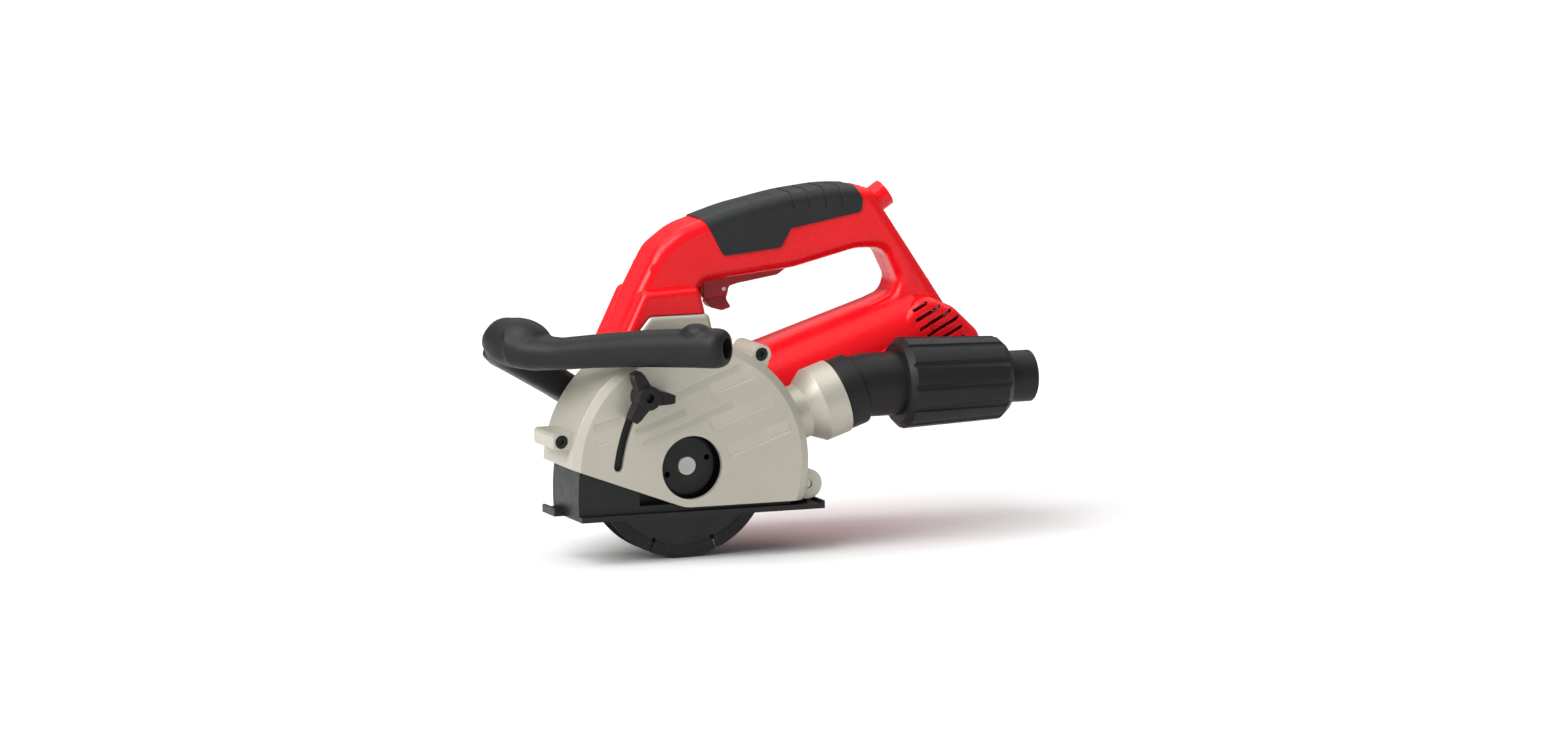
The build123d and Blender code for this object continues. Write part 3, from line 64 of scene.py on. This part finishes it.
# ---------------------------------------------------------------- material building blocks
class Shader:
    """A node material, with short calls for the nodes used here."""

    def __init__(self, name, **values):
        self.material = bpy.data.materials.new(name)
        self.material.use_nodes = True
        self.tree = self.material.node_tree
        self.tree.nodes.clear()
        self.surface = self.add("ShaderNodeBsdfPrincipled", **values)
        output = self.add("ShaderNodeOutputMaterial")
        self.link(self.surface.outputs["BSDF"], output.inputs["Surface"])
        self.place = self.add("ShaderNodeTexCoord").outputs["Object"]

    def link(self, source, target):
        self.tree.links.new(source, target)

    def add(self, kind, settings=None, **values):
        """A node; settings are its properties, values its inputs by name, as numbers or as other outputs."""
        node = self.tree.nodes.new(kind)
        for key, value in (settings or {}).items():
            setattr(node, key, value)
        for key, value in values.items():
            socket = node.inputs[key.replace("_", " ")]
            if isinstance(value, bpy.types.NodeSocket):
                self.link(value, socket)
            else:
                socket.default_value = value
        return node

    def noise(self, scale, detail=3.0, roughness=0.55):
        """Noise with features of about 1/scale metres."""
        node = self.add("ShaderNodeTexNoise", Vector=self.place, Scale=scale, Detail=detail,
                        Roughness=roughness)
        return node.outputs["Fac"]

    def cells(self, scale):
        node = self.add("ShaderNodeTexVoronoi", Vector=self.place, Scale=scale)
        return node.outputs["Distance"]

    def math(self, operation, first, second=0.0):
        node = self.add("ShaderNodeMath", {"operation": operation})
        for socket, value in zip(node.inputs, (first, second)):
            if isinstance(value, bpy.types.NodeSocket):
                self.link(value, socket)
            else:
                socket.default_value = value
        return node.outputs["Value"]

    def remap(self, value, low, high, new_low, new_high):
        """Value moved from one range to another, and clamped to it."""
        node = self.add("ShaderNodeMapRange", Value=value, From_Min=low, From_Max=high, To_Min=new_low,
                        To_Max=new_high)
        return node.outputs["Result"]

    def mix(self, factor, first, second):
        """Colour mix; first and second are colours or outputs."""
        node = self.add("ShaderNodeMix", {"data_type": "RGBA"})
        colour_inputs = [s for s in node.inputs if s.type == "RGBA"]
        self.link(factor, node.inputs["Factor"])
        for socket, value in zip(colour_inputs, (first, second)):
            if isinstance(value, bpy.types.NodeSocket):
                self.link(value, socket)
            else:
                socket.default_value = (*value, 1.0)
        return next(s for s in node.outputs if s.type == "RGBA")

    def soft_normal(self, radius):
        """Normal with edges rounded to a radius."""
        return self.add("ShaderNodeBevel", {"samples": 6}, Radius=radius).outputs["Normal"]

    def edges(self, normal, low, high):
        """1 along sharp edges, 0 on open surfaces."""
        true_normal = self.add("ShaderNodeNewGeometry").outputs["True Normal"]
        dot = self.add("ShaderNodeVectorMath", {"operation": "DOT_PRODUCT"})
        self.link(normal, dot.inputs[0])
        self.link(true_normal, dot.inputs[1])
        return self.remap(self.math("SUBTRACT", 1.0, dot.outputs["Value"]), low, high, 0.0, 1.0)

    def bump(self, height, depth, normal):
        """Bump of the given depth in metres over another normal."""
        node = self.add("ShaderNodeBump", Height=height, Distance=depth, Strength=1.0, Normal=normal)
        self.set("Normal", node.outputs["Normal"])

    def distance_from_axis(self, centre, across):
        """Distance from an axis through centre; across names the two coordinates square to it."""
        offset = self.add("ShaderNodeVectorMath", {"operation": "SUBTRACT"})
        self.link(self.place, offset.inputs[0])
        offset.inputs[1].default_value = centre
        split = self.add("ShaderNodeSeparateXYZ", Vector=offset.outputs["Vector"])
        squares = [self.math("MULTIPLY", split.outputs[letter], split.outputs[letter]) for letter in across]
        return self.math("SQRT", self.math("ADD", *squares))

    def set(self, name, output):
        self.link(output, self.surface.inputs[name])


def shade(colour, factor):
    return tuple(min(1.0, c * factor) for c in colour)


def coated(name, colour, rough, grain, depth, spread=0.08, mottle=22.0, edge=0.6 * MM, worn=None,
           worn_share=0.5, **values):
    """Painted, moulded or cast surface: slow colour drift, patchy gloss, fine grain, soft and worn edges."""
    s = Shader(name, **values)
    drift = s.noise(mottle, 5.0)
    tint = s.mix(s.remap(drift, 0.3, 0.7, 0.0, 1.0), shade(colour, 1 - spread), shade(colour, 1 + spread))
    normal = s.soft_normal(edge)
    gloss = s.noise(mottle * 7, 4.0, 0.65)
    roughness = s.remap(gloss, 0.3, 0.7, rough * 0.85, rough * 1.15)
    if worn:
        rubbed = s.remap(s.noise(160.0, 6.0, 0.7), 0.5, 0.62, 0.0, worn_share)
        mask = s.math("MULTIPLY", s.edges(normal, 0.02, 0.12), rubbed)
        tint = s.mix(mask, tint, worn)
    s.set("Base Color", tint)
    s.set("Roughness", roughness)
    s.bump(s.noise(grain, 2.0, 0.5), depth, normal)
    return s


def turned(name, colour, rough, centre, across, edge=0.4 * MM, pitch=2600.0):
    """Lathe-turned metal: fine rings about an axis through centre, across its two coordinate letters."""
    s = Shader(name, Metallic=1.0)
    radius = s.distance_from_axis(centre, across)
    jitter = s.math("MULTIPLY", s.noise(90.0, 4.0), 0.004)
    rings = s.math("SINE", s.math("MULTIPLY", s.math("ADD", radius, jitter), pitch))
    normal = s.soft_normal(edge)
    tint = s.mix(s.remap(s.noise(70.0, 5.0), 0.3, 0.7, 0.0, 1.0), shade(colour, 0.86), shade(colour, 1.08))
    s.set("Base Color", tint)
    s.set("Roughness", s.remap(rings, -1.0, 1.0, rough * 0.8, rough * 1.25))
    s.bump(rings, 0.000006, normal)
    return s


# ---------------------------------------------------------------- materials, one per slot of the record
def cast_aluminium():
    return coated("cast_aluminium", (0.455, 0.435, 0.365), 0.42, 900.0, 0.00003, spread=0.03, mottle=16.0,
                  edge=0.5 * MM, Metallic=0.4, Specular_IOR_Level=0.5)


def red_plastic():
    return coated("red_plastic", (0.78, 0.004, 0.010), 0.27, 420.0, 0.000005, spread=0.03, mottle=9.0,
                  edge=0.7 * MM, Specular_IOR_Level=0.28)


# Darker copy of red_plastic, used for the trigger and lock-off: the darkening is painted shade, standing in for
# the shadow the trigger sits in beneath the grip.
def dark_red_plastic():
    return coated("dark_red_plastic", (0.36, 0.014, 0.022), 0.42, 1500.0, 0.00002, edge=0.6 * MM,
                  Specular_IOR_Level=0.3)


def black_plastic():
    return coated("black_plastic", (0.0115, 0.0115, 0.012), 0.45, 1400.0, 0.00003, spread=0.12, edge=0.6 * MM,
                  worn=(0.045, 0.045, 0.045), worn_share=0.3, Specular_IOR_Level=0.2)


def grip_rubber():
    s = coated("grip_rubber", (0.0145, 0.0155, 0.0155), 0.5, 1400.0, 0.00003, spread=0.1, edge=0.6 * MM,
               Specular_IOR_Level=0.3)
    normal = s.surface.inputs["Normal"].links[0].from_socket
    s.bump(s.cells(950.0), 0.00006, normal)
    return s


def black_steel():
    return coated("black_steel", (0.012, 0.012, 0.0128), 0.4, 1100.0, 0.00002, spread=0.08, edge=0.4 * MM,
                  worn=(0.12, 0.12, 0.115), worn_share=0.4, Specular_IOR_Level=0.25)


def disc_steel():
    """Charcoal core with turning marks; the sintered rim is lighter and gritty."""
    s = Shader("disc_steel", Metallic=0.2, Specular_IOR_Level=0.3)
    radius = s.distance_from_axis(spindle_axis, "XZ")
    rim = s.remap(radius, RIM_START, RIM_START + 0.9 * MM, 0.0, 1.0)
    rings = s.math("SINE", s.math("MULTIPLY", radius, 5200.0))
    grit = s.cells(1500.0)
    patches = s.remap(s.noise(60.0, 6.0), 0.3, 0.7, 0.0, 1.0)
    core = s.mix(patches, (0.016, 0.016, 0.017), (0.026, 0.026, 0.028))
    rim_tint = s.mix(s.remap(grit, 0.1, 0.7, 0.0, 1.0), (0.05, 0.05, 0.05), (0.02, 0.02, 0.021))
    s.set("Base Color", s.mix(rim, core, rim_tint))
    s.set("Roughness", s.remap(rim, 0.0, 1.0, 0.38, 0.75))
    rim_grit = s.math("MULTIPLY", s.math("MULTIPLY", grit, rim), 1.5)
    height = s.math("ADD", s.math("MULTIPLY", rings, 0.04), rim_grit)
    s.bump(height, 0.1 * MM, s.soft_normal(0.3 * MM))
    return s


def bright_steel():
    return turned("bright_steel", (0.42, 0.41, 0.38), 0.36, spindle_axis, "XZ")


def zinc_steel():
    return coated("zinc_steel", (0.40, 0.39, 0.36), 0.34, 800.0, 0.00001, mottle=120.0, edge=0.35 * MM,
                  Metallic=1.0)


def gear_steel():
    return coated("gear_steel", (0.34, 0.33, 0.31), 0.30, 700.0, 0.00001, mottle=90.0, edge=0.3 * MM,
                  Metallic=1.0)


def lamination_iron():
    """Stacked sheets: fine bands along the motor axis."""
    s = coated("lamination_iron", (0.16, 0.16, 0.17), 0.5, 900.0, 0.00001, Metallic=0.7)
    wave = s.add("ShaderNodeTexWave", {"bands_direction": "X"}, Vector=s.place, Scale=320.0)
    s.bump(wave.outputs["Fac"], 0.00005, s.soft_normal(0.3 * MM))
    return s


def copper():
    """Wound enamelled wire."""
    s = coated("copper", (0.58, 0.22, 0.09), 0.32, 900.0, 0.00001, mottle=60.0, Metallic=0.9)
    wave = s.add("ShaderNodeTexWave", {"bands_direction": "DIAGONAL"}, Vector=s.place, Scale=260.0)
    s.bump(wave.outputs["Fac"], 0.0002, s.soft_normal(0.3 * MM))
    return s


def brass():
    return coated("brass", (0.70, 0.50, 0.22), 0.28, 900.0, 0.00001, mottle=70.0, edge=0.3 * MM, Metallic=1.0)


def carbon():
    return coated("carbon", (0.03, 0.03, 0.033), 0.6, 2000.0, 0.00003, edge=0.3 * MM)


def seal_rubber():
    return coated("seal_rubber", (0.022, 0.022, 0.022), 0.6, 1200.0, 0.00003, edge=0.4 * MM)


def electronics():
    return coated("electronics", (0.045, 0.05, 0.055), 0.45, 1200.0, 0.00003, edge=0.5 * MM)


makers = [cast_aluminium, red_plastic, dark_red_plastic, black_plastic, grip_rubber, black_steel,
          disc_steel, bright_steel, zinc_steel, gear_steel, lamination_iron, copper, brass, carbon,
          seal_rubber, electronics]
materials = {make.__name__: make().material for make in makers}


# ---------------------------------------------------------------- finishes of the CAD nodes
for subpart in frame["record"]["subparts"]:
    node_mesh = frame["nodes"][subpart["node"]].data
    node_mesh.materials.clear()
    node_mesh.materials.append(materials[subpart["material_slot"]])


# ---------------------------------------------------------------- mesh building blocks
def new_object(name, bm):
    """Turns a bmesh into an object of the scene."""
    mesh = bpy.data.meshes.new(name)
    bm.to_mesh(mesh)
    bm.free()
    item = bpy.data.objects.new(name, mesh)
    scene.collection.objects.link(item)
    return item


def new_piece(name, bm, slot, body):
    """Turns a bmesh into a piece that rides on a CAD body and takes its finish from a slot."""
    bmesh.ops.recalc_face_normals(bm, faces=bm.faces)
    piece = new_object(name, bm)
    piece.data.materials.append(materials[slot])
    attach(piece, body)
    return piece


def loft(bm, rings):
    """Skins closed rings of equal count and caps both ends."""
    rows = [[bm.verts.new(point) for point in ring] for ring in rings]
    for lower, upper in zip(rows, rows[1:]):
        for i in range(len(lower)):
            j = (i + 1) % len(lower)
            bm.faces.new((lower[i], lower[j], upper[j], upper[i]))
    bm.faces.new(rows[0])
    bm.faces.new(list(reversed(rows[-1])))


def section(centre, u, v, half_u, half_v, power=2.0, count=32):
    """Superellipse ring: power 2 is an ellipse, higher is boxier."""
    ring = []
    for i in range(count):
        angle = 2 * pi * i / count
        c, s = cos(angle), sin(angle)
        a = half_u * abs(c) ** (2 / power) * (1 if c >= 0 else -1)
        b = half_v * abs(s) ** (2 / power) * (1 if s >= 0 else -1)
        ring.append(centre + u * a + v * b)
    return ring


def apply_modifiers(piece):
    """Bakes a piece's modifiers into its mesh."""
    graph = bpy.context.evaluated_depsgraph_get()
    mesh = bpy.data.meshes.new_from_object(piece.evaluated_get(graph))
    piece.modifiers.clear()
    piece.data = mesh


# ---------------------------------------------------------------- front handle
BAR_END = Vector((-89.0, -94.0, 121.4)) * MM      # middle of the bar's free end
KNUCKLE = Vector((-190.0, 31.0, 114.5)) * MM      # where the bar meets the leg
LEG_TOP = Vector((-190.0, 50.0, 107.2)) * MM
LEG_FOOT = Vector((-122.2, 50.0, 63.2)) * MM      # on the gearhead
BAR_POWER, LEG_POWER = 2.3, 4.0                   # how boxy the two sections are
MELT_VOXEL = 1.1 * MM                             # cell of the remesh that joins the forms
MELT_SMOOTHING = 14                               # passes that round the joints between them
SHARP_ANGLE = radians(50)                         # edges sharper than this stay crisp

bar_along = (KNUCKLE - BAR_END).normalized()
bar_side = bar_along.cross(Vector((0, 0, 1))).normalized()
bar_up = bar_side.cross(bar_along)
bar_axes = (bar_along, bar_side, bar_up)


def blob(bm, centre, size):
    """Ellipsoid with half sizes in millimetres along the bar, beside it and above it."""
    ball = bmesh.ops.create_uvsphere(bm, u_segments=32, v_segments=20, radius=1.0)
    bmesh.ops.scale(bm, vec=Vector(size) * MM, verts=ball["verts"])
    bmesh.ops.transform(bm, matrix=Matrix(bar_axes).transposed().to_4x4(), verts=ball["verts"])
    bmesh.ops.translate(bm, vec=centre, verts=ball["verts"])


def bar_ring(distance, drop, half_height, half_depth, power):
    """Section of the bar, in millimetres from its free end and below its straight line."""
    centre = BAR_END + bar_along * distance * MM - bar_up * drop * MM
    return section(centre, bar_side, bar_up, half_depth * MM, half_height * MM, power)


def bar(bm):
    length = (KNUCKLE - BAR_END).length / MM
    # distance from the free end, drop, half height, half depth
    stations = [(-2.0, 0.0, 8.7, 7.5), (-0.8, 0.0, 10.9, 9.6), (1.5, 0.0, 12.5, 11.2),
                (5.0, 0.1, 13.3, 12.1), (25.0, 0.4, 13.0, 12.2), (60.0, 1.6, 12.3, 12.2),
                (95.0, 4.0, 11.3, 12.2), (125.0, 6.7, 10.7, 13.0), (145.0, 6.4, 12.0, 14.5),
                (length, 2.0, 14.5, 15.5)]
    loft(bm, [bar_ring(*station, BAR_POWER) for station in stations])


def leg(bm):
    """Flat leg that widens into the foot on the gearhead."""
    across = Vector((0, 1, 0))
    along = (LEG_FOOT - LEG_TOP).normalized()
    up = across.cross(along).normalized()
    length = (LEG_FOOT - LEG_TOP).length / MM
    # distance from the top, half thickness, half width
    stations = [(-8.0, 11.0, 14.0), (0.0, 12.5, 17.5), (16.0, 11.5, 18.0), (42.0, 10.3, 18.0),
                (length - 9.2, 10.0, 18.0), (length - 8.8, 20.0, 18.0), (length, 20.5, 18.0)]
    loft(bm, [section(LEG_TOP + along * distance * MM, up, across, thickness * MM, width * MM, LEG_POWER)
              for distance, thickness, width in stations])


def swellings(bm):
    """The knuckle's two swellings, and the thumb rest near the free end."""
    thumb_rest = BAR_END + bar_along * 19 * MM + bar_up * 9.5 * MM - bar_side * 3 * MM
    blob(bm, KNUCKLE + Vector((2.5, 0.5, 0.0)) * MM, (26.0, 15.0, 16.5))
    blob(bm, KNUCKLE + Vector((1.0, 14.0, -1.0)) * MM, (17.0, 15.0, 16.0))
    blob(bm, thumb_rest, (11.5, 7.5, 7.0))


def melt(piece):
    """Joins a piece's overlapping forms into one smooth skin."""
    remesh = piece.modifiers.new("melt", "REMESH")
    remesh.mode = "VOXEL"
    remesh.voxel_size = MELT_VOXEL
    smooth = piece.modifiers.new("soften", "SMOOTH")
    smooth.factor = 0.5
    smooth.iterations = MELT_SMOOTHING
    apply_modifiers(piece)


def cut_end_recess(piece):
    """Tapered recess in the bar's free end."""
    bm = bmesh.new()
    loft(bm, [bar_ring(distance, 0.0, half_height, half_depth, 2.0)
              for distance, half_depth, half_height in [(-6.0, 5.8, 7.2), (0.0, 5.8, 7.2), (14.0, 5.2, 6.6)]])
    bmesh.ops.recalc_face_normals(bm, faces=bm.faces)
    tool = new_object("handle_recess", bm)
    cut = piece.modifiers.new("recess", "BOOLEAN")
    cut.operation = "DIFFERENCE"
    cut.solver = "EXACT"
    cut.object = tool
    apply_modifiers(piece)
    bpy.data.objects.remove(tool)


def front_handle():
    """One moulding: a bar that dips towards a swollen knuckle, and a flat leg down to the gearhead."""
    bm = bmesh.new()
    bar(bm)
    leg(bm)
    swellings(bm)
    piece = new_piece("front_handle_moulding", bm, "black_plastic", "machine")
    melt(piece)
    cut_end_recess(piece)
    piece.data.polygons.foreach_set("use_smooth", [True] * len(piece.data.polygons))
    piece.data.set_sharp_from_angle(angle=SHARP_ANGLE)
    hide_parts("front_handle")


front_handle()


# ---------------------------------------------------------------- camera, floor and light
AZIMUTH, ELEVATION = radians(-22.0), radians(8.1)
FRAME_WIDTH = 1.039                       # width of the view at the object, in metres
TARGET = Vector((-0.0262, -0.0422, 0.0976))
DISTANCE = 5.0                            # from the camera to the target
FLOOR_GAP = 0.0005                        # between the floor and the lowest point
FLOOR_HALF = 30.0                         # half the floor's width

back = Vector((sin(AZIMUTH) * cos(ELEVATION), -cos(AZIMUTH) * cos(ELEVATION), sin(ELEVATION)))
camera_data = bpy.data.cameras.new("camera")
camera_data.sensor_width = 36.0
camera_data.lens = camera_data.sensor_width * DISTANCE / FRAME_WIDTH
camera_data.clip_end = 50.0
camera = bpy.data.objects.new("camera", camera_data)
camera.location = TARGET + back * DISTANCE
camera.rotation_mode = "QUATERNION"
camera.rotation_quaternion = (-back).to_track_quat("-Z", "Y")
scene.collection.objects.link(camera)
scene.camera = camera


def floor():
    """Plain pale sheet under the lowest point."""
    low = cad_box[0].z - FLOOR_GAP
    bm = bmesh.new()
    bmesh.ops.create_grid(bm, x_segments=8, y_segments=8, size=FLOOR_HALF)
    sheet = new_object("floor", bm)
    sheet.location = (0, 0, low)
    s = Shader("floor", Roughness=0.9)
    s.set("Base Color", s.mix(s.noise(0.8), (0.74, 0.74, 0.74), (0.77, 0.77, 0.77)))
    sheet.data.materials.append(s.material)


floor()


def lamp(name, kind, facing):
    """Lamp that shines along a direction."""
    item = bpy.data.objects.new(name, bpy.data.lights.new(name, kind))
    item.rotation_mode = "QUATERNION"
    item.rotation_quaternion = facing.to_track_quat("-Z", "Y")
    scene.collection.objects.link(item)
    return item


def softbox(name, position, size, power):
    """Square area light aimed at the object's middle."""
    item = lamp(name, "AREA", TARGET - Vector(position))
    item.location = position
    item.data.shape = "SQUARE"
    item.data.size = size
    item.data.energy = power


def soft_sun(name, towards, spread, strength):
    """Large even light from a direction, spread in degrees."""
    item = lamp(name, "SUN", -Vector(towards))
    item.data.angle = radians(spread)
    item.data.energy = strength


soft_sun("key", (-0.66, -0.24, 0.70), 50, 3.1)
soft_sun("top", (0.15, 0.20, 1.0), 90, 2.0)
softbox("window", (-1.9, -0.7, 0.9), 0.8, 14.0)

world = bpy.data.worlds.new("studio")
world.use_nodes = True
world.node_tree.nodes["Background"].inputs["Color"].default_value = (1, 1, 1, 1)
world.node_tree.nodes["Background"].inputs["Strength"].default_value = 0.25
scene.world = world
scene.view_settings.view_transform = "Standard"
